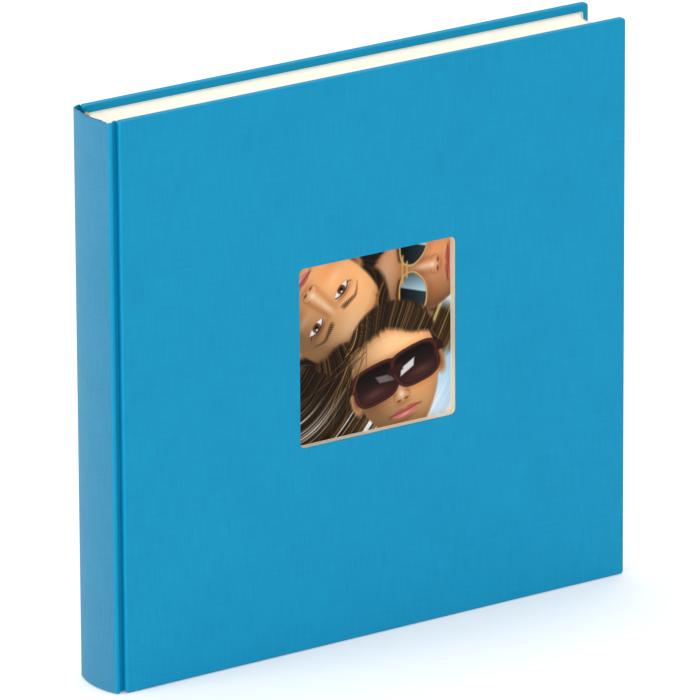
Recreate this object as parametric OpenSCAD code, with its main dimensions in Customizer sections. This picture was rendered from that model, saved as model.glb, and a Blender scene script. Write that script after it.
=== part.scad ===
// Scrapbook album, book-bound, standing closed on its tail edges.
// Millimetres. Origin at the middle of the footprint, +Z from tail to head.
// The spine is at -X, the fore-edge at +X, and the front cover faces -Y.

/* [Case] */
// height of the covers, tail to head
cover_height = 300; // [200:1:360]
// width of each cover board with its cloth
cover_width = 306; // [200:1:360]
// closed depth over both covers
album_depth = 37; // [20:0.5:70]
// thickness of the board alone
board_thickness = 3.3; // [1.5:0.1:5]
// thickness of the case cloth
cloth_thickness = 0.5; // [0.2:0.05:1]
// width of the cloth turned over onto the inner face
turn_in = 15; // [8:1:25]
// radius of the wrapped corners of a cover
cover_corner_r = 1.5; // [0.5:0.1:6]
// bevel of the wrapped edges on the outer face
edge_bevel = 0.7; // [0.1:0.1:2]

/* [Spine] */
// width of the groove between the spine and a board
groove_width = 5.2; // [4:0.1:12]
// radius of the rounded back
spine_radius = 40; // [18:0.1:80]
// half width of the rounded back between its two edges
spine_half_width = 15.6; // [15:0.1:18]
// thickness of the card that stiffens the back
stiffener_thickness = 1.3; // [0.5:0.1:3]

/* [Window] */
// side of the square window in the front cover
window_size = 95; // [40:1:160]
// radius of the window's corners
window_corner_r = 3; // [0.5:0.5:10]
// height of the window's centre above the tail
window_height = 156; // [80:1:220]
// side of the picture in the pocket behind the window
picture_size = 103; // [60:1:180]
// how far the pocket card reaches past the picture on its glued sides
pocket_seam = 8; // [4:0.5:15]

/* [Pages] */
// number of sewn sections in the block
section_count = 10; // [4:2:14]
// folded sheets nested in each section
sheets_per_section = 3; // [1:1:4]
// how far the covers overhang the pages at head and tail
square_head = 4.4; // [2:0.1:8]
// how far the covers overhang the pages at the fore-edge
square_fore = 4; // [2:0.1:8]
// radius of the rounded block, at its folds and at its fore-edge
block_radius = 17.5; // [15:0.1:60]
// space between the stiffened back and the block behind it
hollow_gap = 1; // [0.7:0.1:4]
// clearance between neighbouring leaves
leaf_gap = 0.03; // [0.01:0.01:0.1]
// half thickness of a section at its sewn fold
fold_half = 0.2; // [0.1:0.05:0.6]
// distance from the fold over which a section thickens
fold_taper = 16; // [6:1:30]
// distance from the fold over which a free endpaper is tipped on
tip_width = 4; // [2:0.5:10]

/* [Hidden] */
$fn = 48;
half_depth = album_depth / 2;
spine_flat = sqrt(pow(spine_radius, 2) - pow(spine_half_width, 2));
board_x1 = (spine_radius - spine_flat + groove_width + cover_width) / 2;
board_x0 = board_x1 - cover_width;
groove_x0 = board_x0 - groove_width;
spine_cx = groove_x0 + spine_flat;
paper_y = half_depth - 2 * cloth_thickness - board_thickness;
pastedown_t = 0.2;
picture_t = 0.3;
pocket_t = 0.35;
slip = 0.05;
flyleaf_t = 0.25;
picture_y0 = -paper_y + pastedown_t + slip;
pocket_y0 = picture_y0 + picture_t + slip;
front_fly_y0 = pocket_y0 + pocket_t + 2 * slip;
block_y0 = front_fly_y0 + flyleaf_t + slip;
rear_fly_y0 = paper_y - pastedown_t - 2 * slip - flyleaf_t;
block_y1 = rear_fly_y0 - slip;
pitch = (block_y1 - block_y0) / section_count;
block_edge_y = 13.2;
page_x1 = board_x1 - square_fore;
fore_cx = page_x1 + sqrt(pow(block_radius, 2) - pow(block_edge_y, 2));
page_z0 = square_head;
page_z1 = cover_height - square_head;
window_x = (board_x0 + board_x1) / 2;
band_z = [75, 150, 225];
fold_clear = 0.4;
tape_t = 0.3;
tape_half_height = 6;
thread_r = 0.2;
kettle_inset = 22;
mull_t = 0.2;
mull_inset = 18;
lining_t = 0.3;
lining_inset = 1;
layer_half = 12.6;
thread_o = fold_clear + tape_t + thread_r;
mull_o = thread_o + thread_r;
lining_o = mull_o + mull_t;
tube_o = lining_o + lining_t + slip;
fold_cx = spine_cx - spine_radius + stiffener_thickness + 2 * cloth_thickness
  + hollow_gap + tube_o - slip + block_radius;
stiffener_half = 14.2;
joint_gap = 0.1;
tube_half = 11.5;
tube_wall = 0.25;
bead_r = 0.9;
band_drop = 10;
thumb_r = 11;
band_angle = 44;
sheet_step = 0.8;

// A box from its two opposite corners.
module box(low, high) {
  translate(low) cube(high - low);
}

// A plate in the XZ plane with rounded corners, from y0 to y1.
module plate(x0, x1, z0, z1, r, y0, y1) {
  translate([0, y1, 0])
    rotate([90, 0, 0])
      linear_extrude(y1 - y0)
        translate([x0 + r, z0 + r])
          offset(r = r)
            square([x1 - x0 - 2 * r, z1 - z0 - 2 * r]);
}

// Repeats the front cover's parts on the back.
module to_back() {
  mirror([0, 1, 0]) children();
}

// The square hole through the front cover, from y0 to y1.
module window_hole(y0, y1) {
  half = window_size / 2;
  plate(window_x - half, window_x + half,
        window_height - half, window_height + half, window_corner_r, y0, y1);
}

// The part of a shape at the spine side of x, within half_width of the middle.
module spine_side(x, half_width) {
  intersection() {
    children();
    translate([groove_x0 - 10, -half_width])
      square([x - groove_x0 + 10, 2 * half_width]);
  }
}

// A layer of the rounded back between two insets from the outer cloth.
module spine_layer(outer, inner, half_width) {
  spine_side(groove_x0, half_width)
    translate([spine_cx, 0])
      difference() {
        circle(spine_radius - outer, $fn = 96);
        circle(spine_radius - inner, $fn = 96);
      }
}

// A layer on the rounded back of the block, between two offsets from the folds.
module block_layer(inner, outer, half_width) {
  spine_side(fold_cx, half_width)
    translate([fold_cx, 0])
      difference() {
        circle(block_radius + outer, $fn = 96);
        circle(block_radius + inner, $fn = 96);
      }
}

// The case cloth over the back, turned in over the stiffener at head and tail.
module spine_cloth() {
  inner = cloth_thickness + stiffener_thickness;
  color([0.13, 0.50, 0.66]) {
    linear_extrude(cover_height)
      spine_layer(0, cloth_thickness, half_depth);
    for (z = [0, cover_height - cloth_thickness])
      translate([0, 0, z])
        linear_extrude(cloth_thickness)
          spine_layer(cloth_thickness / 2, inner + cloth_thickness, stiffener_half);
    for (z = [0, cover_height - turn_in])
      translate([0, 0, z])
        linear_extrude(turn_in)
          spine_layer(inner, inner + cloth_thickness, stiffener_half);
  }
}

// The curved card inside the back.
module spine_stiffener() {
  color([0.72, 0.66, 0.52])
    translate([0, 0, cloth_thickness])
      linear_extrude(cover_height - 2 * cloth_thickness)
        spine_layer(cloth_thickness, cloth_thickness + stiffener_thickness,
                    stiffener_half);
}

// The flattened paper tube that joins the block's back to the stiffener.
module hollow_tube() {
  color([0.80, 0.74, 0.62])
    translate([0, 0, page_z0 + lining_inset])
      linear_extrude(page_z1 - page_z0 - 2 * lining_inset)
        difference() {
          hollow_shape();
          offset(delta = -tube_wall) hollow_shape();
        }
}

// The space between the back and the block, seen from the head.
module hollow_shape() {
  spine_side(fold_cx, tube_half)
    difference() {
      translate([spine_cx, 0])
        circle(spine_radius - 2 * cloth_thickness - stiffener_thickness, $fn = 96);
      translate([fold_cx, 0]) circle(block_radius + tube_o, $fn = 96);
    }
}

// Paper pasted over the gauze on the block's back.
module spine_lining() {
  color([0.86, 0.80, 0.68])
    translate([0, 0, page_z0 + lining_inset])
      linear_extrude(page_z1 - page_z0 - 2 * lining_inset)
        block_layer(lining_o, lining_o + lining_t, layer_half);
}

// Open gauze glued over the sewn folds.
module mull() {
  color([0.93, 0.92, 0.86])
    translate([0, 0, mull_inset])
      linear_extrude(cover_height - 2 * mull_inset)
        block_layer(mull_o, mull_o + mull_t, layer_half);
}

// Linen tapes that the sections are sewn round.
module sewing_tapes() {
  color([0.90, 0.88, 0.80])
    for (z = band_z)
      translate([0, 0, z - tape_half_height])
        linear_extrude(2 * tape_half_height)
          block_layer(fold_clear, fold_clear + tape_t, layer_half);
}

// Thread over each tape at each fold, and a linking stitch at head and tail.
module sewing_thread() {
  reach = tape_half_height + 1;
  color([0.95, 0.94, 0.88]) {
    for (z = band_z, k = [0 : section_count - 1])
      translate([thread_x(k), fold_y(k), z - reach])
        cylinder(r = thread_r, h = 2 * reach, $fn = 16);
    for (z = [kettle_inset, cover_height - kettle_inset])
      translate([0, 0, z - thread_r])
        linear_extrude(2 * thread_r)
          block_layer(thread_o - thread_r, thread_o + thread_r, layer_half);
  }
}

// Striped band over the ends of the folds at the head.
module headband() {
  color([0.80, 0.50, 0.25]) band();
}

// The same band at the tail.
module tailband() {
  color([0.80, 0.50, 0.25])
    translate([0, 0, cover_height]) mirror([0, 0, 1]) band();
}

// A corded bead above the folds on a strip glued to the back of the block.
module band() {
  translate([fold_cx, 0, page_z1 + bead_r - 0.1])
    rotate([0, 0, 180 - band_angle])
      rotate_extrude(angle = 2 * band_angle)
        translate([block_radius + bead_r, 0]) circle(bead_r);
  translate([0, 0, page_z1 - band_drop])
    linear_extrude(band_drop + tape_t)
      block_layer(fold_clear, fold_clear + tape_t, layer_half);
}

// The middle of each section's fold, counted from the front.
function fold_y(k) = block_y0 + pitch * (k + 0.5);

// Where the rounded block puts that fold, and the thread on it.
function fold_x(k) = fold_cx - sqrt(pow(block_radius, 2) - pow(fold_y(k), 2));
function thread_x(k) = fold_cx - sqrt(pow(block_radius + thread_o, 2) - pow(fold_y(k), 2));

// The whole cover with its bevelled edges, before the board is taken out.
module cover_blank() {
  mid_y = -half_depth + edge_bevel;
  hull() {
    plate(board_x0, board_x1, 0, cover_height, cover_corner_r, mid_y, -paper_y);
    plate(board_x0 + edge_bevel, board_x1 - edge_bevel, edge_bevel,
          cover_height - edge_bevel, cover_corner_r, -half_depth, mid_y);
  }
}

// The board of one cover.
module board() {
  c = cloth_thickness;
  plate(board_x0 + c, board_x1 - c, c, cover_height - c, cover_corner_r - c,
        -half_depth + c, -paper_y - c);
}

// Cloth over the outer face and edges, turned in at head, tail and fore-edge.
module cover_cloth() {
  difference() {
    cover_blank();
    board();
    box([board_x0 - 1, -paper_y - cloth_thickness, turn_in],
        [board_x1 - turn_in, -paper_y + 1, cover_height - turn_in]);
  }
}

// Cloth that lines the groove and carries the cover on the spine.
module joint_cloth() {
  x = groove_x0 + joint_gap;
  c = cloth_thickness;
  box([x, -spine_half_width, 0], [x + c, -paper_y, cover_height]);
  box([x, -paper_y - c, 0], [board_x0, -paper_y, cover_height]);
}

// Endpaper pasted on the inner face, over the turn-ins and the groove.
module pastedown() {
  c = cloth_thickness;
  box([groove_x0 + joint_gap + c, -paper_y, square_fore],
      [page_x1, -paper_y + pastedown_t, cover_height - square_fore]);
  box([board_x0 + c, -paper_y - c, turn_in],
      [board_x1 - turn_in, -paper_y, cover_height - turn_in]);
}

module front_board() {
  color([0.90, 0.84, 0.72])
    difference() {
      board();
      window_hole(-half_depth - 1, 0);
    }
}

module front_cloth() {
  color([0.06, 0.56, 0.73])
    difference() {
      cover_cloth();
      window_hole(-half_depth - 1, 0);
    }
}

module front_joint_cloth() {
  color([0.05, 0.45, 0.62]) joint_cloth();
}

module front_pastedown() {
  color([0.97, 0.94, 0.86])
    difference() {
      pastedown();
      window_hole(-half_depth - 1, 0);
    }
}

// Card glued to the endpaper on three sides, open at the top with a thumb notch.
module picture_pocket() {
  half = picture_size / 2;
  seam_y = -paper_y + pastedown_t;
  x0 = window_x - half - pocket_seam;
  x1 = window_x + half + pocket_seam;
  z0 = window_height - half - pocket_seam;
  z1 = window_height + half - 2;
  color([0.95, 0.91, 0.82])
    difference() {
      box([x0, seam_y, z0], [x1, pocket_y0 + pocket_t, z1]);
      box([window_x - half - picture_t, seam_y - 1, window_height - half],
          [window_x + half + picture_t, pocket_y0, z1 + 1]);
      translate([window_x, 0, z1])
        rotate([90, 0, 0]) cylinder(r = thumb_r, h = album_depth, center = true);
    }
}

// The print shown in the window.
module cover_picture() {
  half = picture_size / 2;
  color([0.80, 0.62, 0.50])
    box([window_x - half, picture_y0, window_height - half],
        [window_x + half, picture_y0 + picture_t, window_height + half]);
}

module back_board() {
  color([0.90, 0.84, 0.72]) to_back() board();
}

module back_cloth() {
  color([0.06, 0.56, 0.73]) to_back() cover_cloth();
}

module back_joint_cloth() {
  color([0.05, 0.45, 0.62]) to_back() joint_cloth();
}

module back_pastedown() {
  color([0.97, 0.94, 0.86]) to_back() pastedown();
}

// The free leaf of an endpaper, from the line where it is tipped on.
module free_endpaper(y) {
  box([fold_x(0) + tip_width, y, page_z0], [page_x1, y + flyleaf_t, page_z1]);
}

module front_flyleaf() {
  color([0.97, 0.94, 0.86])
    free_endpaper(front_fly_y0);
}

module rear_flyleaf() {
  color([0.97, 0.94, 0.86])
    free_endpaper(rear_fly_y0);
}

// Half thickness at the fold for a layer that is half thick further out.
function pinched(half) = half * fold_half / (pitch / 2);

// Outline of everything inside one folded sheet of section k, seen from the head.
module fold_shape(k, half, back) {
  x = fold_x(k) + back;
  x1 = fold_x(k) + fold_taper;
  translate([0, fold_y(k)])
    polygon([
      [x, -pinched(half)], [x1, -half], [board_x1, -half],
      [board_x1, half], [x1, half], [x, pinched(half)]
    ]);
}

// Nested folded sheets sewn through their common fold and trimmed as one block.
module section(k) {
  step = (pitch / 2) / sheets_per_section;
  color([0.97, 0.94, 0.87])
    translate([0, 0, page_z0])
      for (i = [0 : sheets_per_section - 1]) {
        outer = pitch / 2 - i * step - leaf_gap / 2;
        linear_extrude(page_z1 - page_z0)
          difference() {
            fold_shape(k, outer, sheet_step * i);
            fold_shape(k, outer - step + leaf_gap, sheet_step * (i + 0.75));
            translate([fore_cx, 0]) circle(block_radius, $fn = 96);
            translate([page_x1, -half_depth]) square([square_fore + 1, album_depth]);
          }
      }
}

module section_01() { section(0); }
module section_02() { section(1); }
module section_03() { section(2); }
module section_04() { section(3); }
module section_05() { section(4); }
module section_06() { section(5); }
module section_07() { section(6); }
module section_08() { section(7); }
module section_09() { section(8); }
module section_10() { section(9); }

spine_cloth();
spine_stiffener();
hollow_tube();
spine_lining();
mull();
sewing_tapes();
sewing_thread();
headband();
tailband();
front_board();
front_cloth();
front_joint_cloth();
front_pastedown();
picture_pocket();
cover_picture();
back_board();
back_cloth();
back_joint_cloth();
back_pastedown();
front_flyleaf();
rear_flyleaf();
section_01();
section_02();
section_03();
section_04();
section_05();
section_06();
section_07();
section_08();
section_09();
section_10();
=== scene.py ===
"""A square scrapbook album in blue book cloth, standing on a pale floor."""

import logging
import math
from dataclasses import dataclass, field
from enum import Enum
from typing import Any, Iterable, Sequence

import bmesh
import bpy
import numpy as np
from mathutils import Matrix, Vector


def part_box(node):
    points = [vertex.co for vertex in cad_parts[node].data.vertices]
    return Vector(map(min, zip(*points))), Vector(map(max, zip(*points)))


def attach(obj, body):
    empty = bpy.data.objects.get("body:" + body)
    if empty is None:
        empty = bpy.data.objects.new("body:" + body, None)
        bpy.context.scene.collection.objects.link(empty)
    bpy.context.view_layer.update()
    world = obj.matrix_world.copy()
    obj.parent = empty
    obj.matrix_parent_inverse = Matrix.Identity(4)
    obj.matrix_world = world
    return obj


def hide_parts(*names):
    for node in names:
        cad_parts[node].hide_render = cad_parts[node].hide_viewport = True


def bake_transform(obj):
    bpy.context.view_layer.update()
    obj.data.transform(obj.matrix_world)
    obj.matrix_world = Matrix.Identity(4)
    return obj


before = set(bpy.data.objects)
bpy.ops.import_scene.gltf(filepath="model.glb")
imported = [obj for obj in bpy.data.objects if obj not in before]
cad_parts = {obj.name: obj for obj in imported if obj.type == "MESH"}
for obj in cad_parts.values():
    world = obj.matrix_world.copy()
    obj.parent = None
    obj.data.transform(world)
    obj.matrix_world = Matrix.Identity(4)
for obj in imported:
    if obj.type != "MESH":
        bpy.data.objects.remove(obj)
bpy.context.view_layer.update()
LOG = logging.getLogger("album")
MM = 0.001
TINY = 1e-6
TURN_STEPS = 8
Colour = tuple[float, float, float]


def srgb(red: float, green: float, blue: float) -> Colour:
    """Turn an everyday 0 to 255 colour into scene-linear numbers.

    Args:
        red: Red, 0 to 255.
        green: Green, 0 to 255.
        blue: Blue, 0 to 255.

    Returns:
        The linear colour.
    """
    parts = [c / 255 for c in (red, green, blue)]
    linear = [c / 12.92 if c <= 0.04045 else ((c + 0.055) / 1.055) ** 2.4 for c in parts]
    return (linear[0], linear[1], linear[2])


class Side(Enum):
    """Which cover a piece belongs to, with the sign of its Y."""

    FRONT = -1
    BACK = 1

    @property
    def label(self) -> str:
        """Name used in pieces and bodies."""
        return self.name.lower()


class End(Enum):
    """Which end of the spine a piece sits at, with the sign of its Z."""

    TAIL = -1
    HEAD = 1


class Sock:
    """An output socket or a number that adds Math nodes when it is calculated with."""

    def __init__(self, nodes: "Nodes", value: Any) -> None:
        """Keep the value.

        Args:
            nodes: The material's node builder.
            value: A socket or a number.
        """
        self.nodes = nodes
        self.value = value

    def math(self, operation: str, *others: Any, clamp: bool = False) -> "Sock":
        """Add one Math node.

        Args:
            operation: The node's operation.
            others: The other inputs.
            clamp: Whether the result is held between 0 and 1.

        Returns:
            The result.
        """
        values = {i: v for i, v in enumerate((self, *others))}
        return self.nodes.add("Math", {"operation": operation, "use_clamp": clamp}, values)

    def __add__(self, other: Any) -> "Sock":
        """Sum."""
        return self.math("ADD", other)

    def __sub__(self, other: Any) -> "Sock":
        """Difference."""
        return self.math("SUBTRACT", other)

    def __rsub__(self, other: Any) -> "Sock":
        """Difference from a number."""
        return Sock(self.nodes, other).math("SUBTRACT", self)

    def __mul__(self, other: Any) -> "Sock":
        """Product."""
        return self.math("MULTIPLY", other)

    def __truediv__(self, other: Any) -> "Sock":
        """Quotient."""
        return self.math("DIVIDE", other)

    __radd__ = __add__
    __rmul__ = __mul__

    def ramp(self, low: float, high: float) -> "Sock":
        """Rise smoothly from 0 at low to 1 at high.

        Args:
            low: Where the rise starts.
            high: Where it ends.

        Returns:
            The mask.
        """
        settings = {"interpolation_type": "SMOOTHSTEP"}
        return self.nodes.add("MapRange", settings, {"Value": self, "From Min": low, "From Max": high})


class Nodes:
    """Builds the node tree of one material."""

    def __init__(self, name: str) -> None:
        """Start an empty material.

        Args:
            name: The material's name.
        """
        self.material = bpy.data.materials.new(name)
        self.material.use_nodes = True
        self.tree = self.material.node_tree
        self.tree.nodes.clear()

    def add(self, kind: str, settings: dict[str, Any], values: dict[Any, Any], out: Any = 0) -> Sock:
        """Add a node.

        Args:
            kind: The node's type without its ShaderNode prefix.
            settings: Properties, set before the sockets.
            values: Numbers, colours or sockets by input name or index.
            out: The output wanted.

        Returns:
            That output.
        """
        node = self.tree.nodes.new("ShaderNode" + kind)
        for key, value in settings.items():
            setattr(node, key, value)
        for key, value in values.items():
            value = value.value if isinstance(value, Sock) else value
            if isinstance(value, bpy.types.NodeSocket):
                self.tree.links.new(value, node.inputs[key])
            else:
                node.inputs[key].default_value = value
        return Sock(self, node.outputs[out])

    def coords(self, uv: str = "") -> tuple[Sock, Sock, Sock, Sock]:
        """Read the place of a point, in metres.

        Args:
            uv: Name of the UV map to read in place of the object's own axes.

        Returns:
            The vector and its three parts.
        """
        if uv:
            vector = self.add("UVMap", {"uv_map": uv}, {}, "UV")
        else:
            vector = self.add("TexCoord", {}, {}, "Object")
        parts = [self.add("SeparateXYZ", {}, {0: vector}, i) for i in range(3)]
        return (vector, parts[0], parts[1], parts[2])

    def vector(self, x: Any, y: Any, z: Any = 0.0) -> Sock:
        """Join three numbers into a vector."""
        return self.add("CombineXYZ", {}, {0: x, 1: y, 2: z})

    def noise(self, vector: Sock, scale: float, detail: float = 3.0, rough: float = 0.55) -> Sock:
        """Add a noise pattern.

        Args:
            vector: Where it is read.
            scale: How fine it is.
            detail: Number of octaves.
            rough: Weight of the finer octaves.

        Returns:
            The pattern, about 0 to 1.
        """
        values = {"Vector": vector, "Scale": scale, "Detail": detail, "Roughness": rough}
        return self.add("TexNoise", {"noise_dimensions": "3D"}, values, 0)

    def mix(self, share: Any, first: Any, second: Any) -> Sock:
        """Mix two colours.

        Args:
            share: Share of the second one.
            first: A colour or socket.
            second: A colour or socket.

        Returns:
            The mixed colour.
        """
        ready = [(*c, 1.0) if isinstance(c, tuple) else c for c in (first, second)]
        settings = {"data_type": "RGBA", "clamp_factor": True}
        return self.add("Mix", settings, {0: share, 6: ready[0], 7: ready[1]}, 2)

    def bump(self, height: Sock, strength: float, distance: float) -> Sock:
        """Turn a height into a surface direction.

        Args:
            height: The height, about 0 to 1.
            strength: Strength of the effect.
            distance: Depth of the relief in metres.

        Returns:
            The normal.
        """
        values = {"Strength": strength, "Distance": distance, "Height": height}
        return self.add("Bump", {}, values)

    def finish(self, values: dict[str, Any]) -> bpy.types.Material:
        """End the tree in one Principled surface.

        Args:
            values: Its sockets.

        Returns:
            The material.
        """
        ready = {k: (*v, 1.0) if isinstance(v, tuple) and len(v) == 3 else v for k, v in values.items()}
        shader = self.add("BsdfPrincipled", {}, ready)
        self.add_output(shader)
        return self.material

    def add_output(self, shader: Sock) -> None:
        """Link a shader to the material's output."""
        node = self.tree.nodes.new("ShaderNodeOutputMaterial")
        self.tree.links.new(shader.value, node.inputs[0])


@dataclass(frozen=True)
class LinenFinish:
    """Fine plain-woven book cloth, dyed and lightly filled."""

    name: str
    colour: Colour
    light: Colour
    pitch: float = 0.00052
    relief: float = 0.00007

    def make(self) -> bpy.types.Material:
        """Build the material on the cloth's own UV map, whose unit is a metre.

        Returns:
            The material.
        """
        n = Nodes(self.name)
        vector, u, v, _ = n.coords("cloth")
        turn = math.pi / self.pitch
        wobble = n.noise(vector, 900, 1.0) * 0.9
        warp = (u * turn + wobble).math("SINE")
        weft = (v * turn + wobble).math("SINE")
        over = (warp * weft).ramp(-0.35, 0.35)
        weave = over * warp.math("ABSOLUTE") + (1 - over) * weft.math("ABSOLUTE")
        slubs_u = n.noise(n.vector(u * 1500, v * 60), 1.0, 2.0)
        slubs_v = n.noise(n.vector(u * 60, v * 1500, 7.0), 1.0, 2.0)
        cloudy = n.noise(vector, 26, 3.0)
        threads = (slubs_u - 0.5) * 0.75 + (slubs_v - 0.5) * 0.6
        tone = threads + (weave - 0.6) * 0.22 + (cloudy - 0.5) * 0.35 + 0.5
        base = n.mix(tone.ramp(0.1, 0.9), self.colour, self.light)
        height = weave + threads * 1.3
        return n.finish({
            "Base Color": base,
            "Roughness": 0.5 + (1 - weave) * 0.15,
            "Specular IOR Level": 0.16,
            "Normal": n.bump(height, 0.4, self.relief),
        })


@dataclass(frozen=True)
class PaperFinish:
    """Card or paper with fine fibres, and the cut edges of stacked leaves."""

    name: str
    colour: Colour
    shade: Colour
    rough: float = 0.85
    grain: float = 900.0

    def make(self) -> bpy.types.Material:
        """Build the material on object coordinates.

        Returns:
            The material.
        """
        n = Nodes(self.name)
        vector, x, y, z = n.coords()
        fibres = n.noise(vector, self.grain, 4.0, 0.6)
        layers = n.noise(n.vector(x * 20, y * 2600, z * 20), 1.0, 1.0)
        clouds = n.noise(vector, 35, 2.0)
        tone = (fibres - 0.5) * 0.5 + (layers - 0.5) * 0.7 + (clouds - 0.5) * 0.3 + 0.35
        return n.finish({
            "Base Color": n.mix(tone.ramp(0.0, 1.0), self.colour, self.shade),
            "Roughness": self.rough,
            "Specular IOR Level": 0.25,
            "Normal": n.bump(fibres, 0.25, 0.00006),
        })


@dataclass(frozen=True)
class GauzeFinish:
    """Open net or woven tape, drawn by its threads."""

    name: str
    colour: Colour
    shade: Colour
    pitch: float = 0.0016

    def make(self) -> bpy.types.Material:
        """Build the material on object coordinates.

        Returns:
            The material.
        """
        n = Nodes(self.name)
        vector, _, y, z = n.coords()
        turn = 2 * math.pi / self.pitch
        across = ((y * turn).math("SINE") + 1) * 0.5
        along = ((z * turn).math("SINE") + 1) * 0.5
        net = across.math("MAXIMUM", along)
        fuzz = n.noise(vector, 1500, 2.0)
        return n.finish({
            "Base Color": n.mix((net * 0.8 + fuzz * 0.3).ramp(0.2, 1.0), self.shade, self.colour),
            "Roughness": 0.9,
            "Specular IOR Level": 0.2,
            "Normal": n.bump(net + fuzz * 0.3, 0.6, 0.0001),
        })


@dataclass(frozen=True)
class BandFinish:
    """Silk worked round a cord in slanted stripes of two colours."""

    name: str
    dark: Colour
    pale: Colour
    stripes: float = 15.0

    def make(self) -> bpy.types.Material:
        """Build the material on a UV map that counts along and round the cord.

        Returns:
            The material.
        """
        n = Nodes(self.name)
        vector, u, v, _ = n.coords("band")
        wave = ((u * self.stripes + v * 0.6) * (2 * math.pi)).math("SINE")
        strands = ((u * self.stripes * 9 + v * 5) * (2 * math.pi)).math("SINE")
        fuzz = n.noise(vector, 90, 2.0)
        return n.finish({
            "Base Color": n.mix((wave + (fuzz - 0.5) * 0.6).ramp(-0.25, 0.25), self.dark, self.pale),
            "Roughness": 0.55,
            "Specular IOR Level": 0.4,
            "Sheen Weight": 0.3,
            "Normal": n.bump(strands * 0.5 + wave.math("ABSOLUTE"), 0.7, 0.00015),
        })


@dataclass(frozen=True)
class PrintFinish:
    """A glossy photographic print whose inks are held by the mesh."""

    name: str

    def make(self) -> bpy.types.Material:
        """Build the material on the print's colour attribute.

        Returns:
            The material.
        """
        n = Nodes(self.name)
        ink = n.add("Attribute", {"attribute_name": "ink"}, {}, "Color")
        vector, _, _, _ = n.coords()
        grain = n.noise(vector, 3500, 1.0)
        return n.finish({
            "Base Color": ink,
            "Roughness": 0.34 + grain * 0.08,
            "Specular IOR Level": 0.06,
        })


@dataclass(frozen=True)
class PlainFinish:
    """A plain matt sweep for the studio. It glows faintly, a painted light that lifts its shadow."""

    name: str
    colour: Colour
    shadow_lifting_glow: float = 0.14

    def make(self) -> bpy.types.Material:
        """Build the material.

        Returns:
            The material.
        """
        n = Nodes(self.name)
        vector, _, _, _ = n.coords()
        mottle = n.noise(vector, 3.0, 2.0)
        red, green, blue = (min(c * 1.02, 1.0) for c in self.colour)
        return n.finish({
            "Base Color": n.mix(mottle, self.colour, (red, green, blue)),
            "Roughness": 0.9,
            "Specular IOR Level": 0.1,
            # Painted light: the sweep glows faintly, lightening the ground and the album's shadow on it
            # beyond the lamps.
            "Emission Color": (1.0, 1.0, 1.0, 1.0),
            "Emission Strength": self.shadow_lifting_glow,
        })


@dataclass(frozen=True)
class Finishes:
    """Every finish of the album, built once."""

    cloth: bpy.types.Material
    # Lit copy of the cover cloth for the back: its raised red is painted sheen, and its lower green and blue
    # offset the left lamp. The real back is the same cloth as the covers.
    back: bpy.types.Material
    page: bpy.types.Material
    endpaper: bpy.types.Material
    board: bpy.types.Material
    spine_card: bpy.types.Material
    kraft: bpy.types.Material
    gauze: bpy.types.Material
    tape: bpy.types.Material
    thread: bpy.types.Material
    band: bpy.types.Material
    ink: bpy.types.Material

    @classmethod
    def build(cls) -> "Finishes":
        """Make them all.

        Returns:
            The set.
        """
        return cls(
            cloth=LinenFinish("book_cloth", srgb(0, 138, 181), srgb(4, 153, 197)).make(),
            # Painted sheen: the back's greyer cloth stands in for the haze of light on the left-facing back.
            # It is not a different cloth.
            back=LinenFinish("book_cloth_back_painted_sheen", srgb(46, 119, 152), srgb(60, 133, 168)).make(),
            page=PaperFinish("page_card", srgb(250, 246, 232), srgb(240, 230, 208)).make(),
            endpaper=PaperFinish("endpaper", srgb(249, 245, 232), srgb(241, 233, 214)).make(),
            board=PaperFinish("grey_board", srgb(246, 232, 204), srgb(228, 206, 172), 0.9, 700).make(),
            spine_card=PaperFinish("spine_card", srgb(206, 192, 158), srgb(184, 166, 130), 0.9, 700).make(),
            kraft=PaperFinish("kraft_paper", srgb(214, 186, 142), srgb(190, 158, 112), 0.85, 800).make(),
            gauze=GauzeFinish("binders_gauze", srgb(240, 236, 222), srgb(196, 186, 160)).make(),
            tape=GauzeFinish("linen_tape", srgb(236, 230, 212), srgb(208, 198, 172), 0.0007).make(),
            thread=GauzeFinish("waxed_thread", srgb(244, 240, 228), srgb(214, 204, 180), 0.0005).make(),
            band=BandFinish("striped_silk", srgb(190, 92, 26), srgb(236, 196, 146)).make(),
            ink=PrintFinish("photo_print").make(),
        )


def finish_mesh(
    name: str, bm: bmesh.types.BMesh, material: bpy.types.Material, sharp: float | None = 32.0
) -> bpy.types.Object:
    """Turn a bmesh into a piece at the origin.

    Args:
        name: The piece's name.
        bm: The mesh, which is freed.
        material: Its material.
        sharp: Edges that turn more than this many degrees stay sharp; None shades flat.

    Returns:
        The object.
    """
    mesh = bpy.data.meshes.new(name)
    bm.edges.index_update()
    rims = [e.index for e in bm.edges if e.is_boundary]
    bm.to_mesh(mesh)
    bm.free()
    mesh.materials.append(material)
    piece = bpy.data.objects.new(name, mesh)
    bpy.context.scene.collection.objects.link(piece)
    if sharp is not None:
        mesh.shade_smooth()
        mesh.set_sharp_from_angle(angle=math.radians(sharp))
        for index in rims:
            mesh.edges[index].use_edge_sharp = True
        weighted = piece.modifiers.new("even_shading", "WEIGHTED_NORMAL")
        weighted.keep_sharp = True
    return piece


def bevel(bm: bmesh.types.BMesh, edges: Iterable[bmesh.types.BMEdge], offset: float, segments: int) -> None:
    """Round some edges.

    Args:
        bm: The mesh.
        edges: The edges.
        offset: Width of the rounding.
        segments: Number of steps.
    """
    bmesh.ops.bevel(
        bm, geom=list(edges), offset=offset, offset_type="OFFSET", segments=segments,
        profile=0.5, affect="EDGES", clamp_overlap=True, material=-1,
    )


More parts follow.
